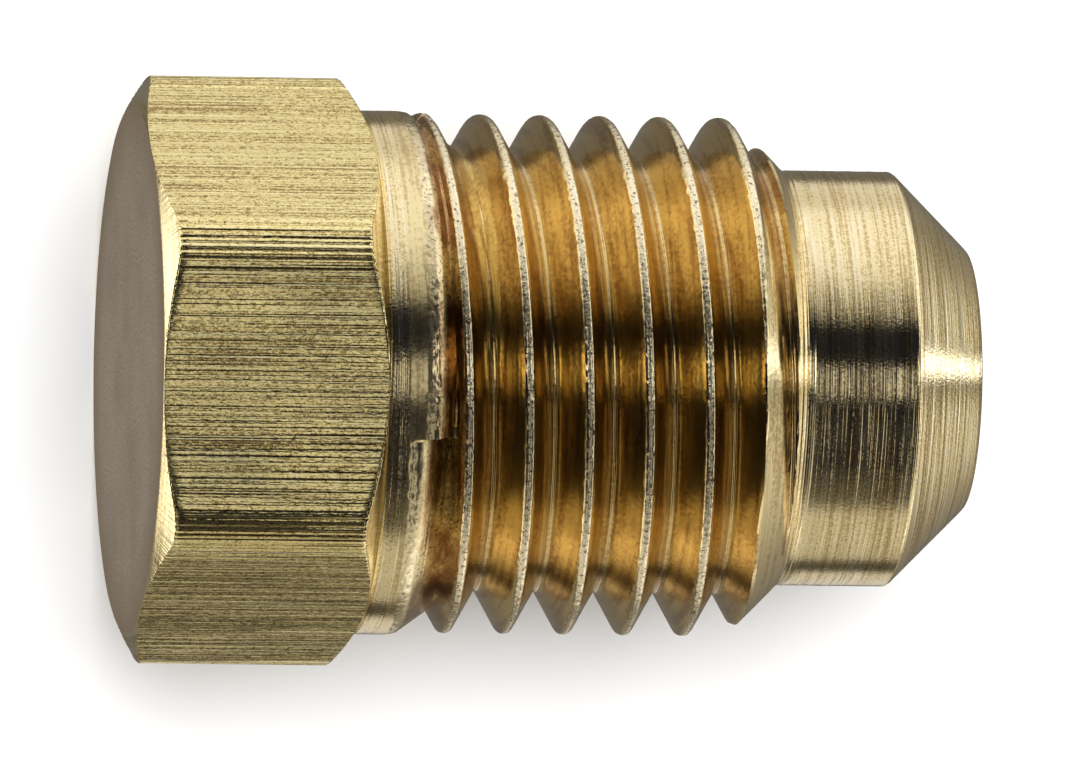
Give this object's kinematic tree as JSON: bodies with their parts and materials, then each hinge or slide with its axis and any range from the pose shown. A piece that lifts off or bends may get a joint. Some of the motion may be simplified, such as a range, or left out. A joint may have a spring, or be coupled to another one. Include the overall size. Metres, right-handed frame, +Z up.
{
  "type": "flare plug",
  "caption": "Solid brass flare plug with a hex head, a plain neck, a right-hand threaded shank, a pilot and a 45 degree flare cone.",
  "frame": {"origin": "on the surface that the plug lies on, under the middle of its length and of its axis, with the lowest hex flat at Z = 0", "axes": "+X along the plug's axis from the hex head to the flare cone, +Y across two corners of the hex, +Z up, square to the flat that it lies on; the axis is 5.525 mm above the origin"},
  "size_m": [0.0178, 0.0124, 0.011],
  "materials": {
    "drawn_brass": "drawn hex bar, fine lengthwise draw lines, light tarnish, sawn and faced end",
    "turned_brass": "lathe turned, fine circumferential tool lines, semi-bright",
    "threaded_brass": "die cut thread, torn bright crests, warmer flanks"
  },
  "bodies": {
    "root": {"hex_head": "drawn_brass", "neck": "turned_brass", "threaded_shank": "threaded_brass", "pilot": "turned_brass", "flare_cone": "turned_brass"}
  },
  "joints": []
}
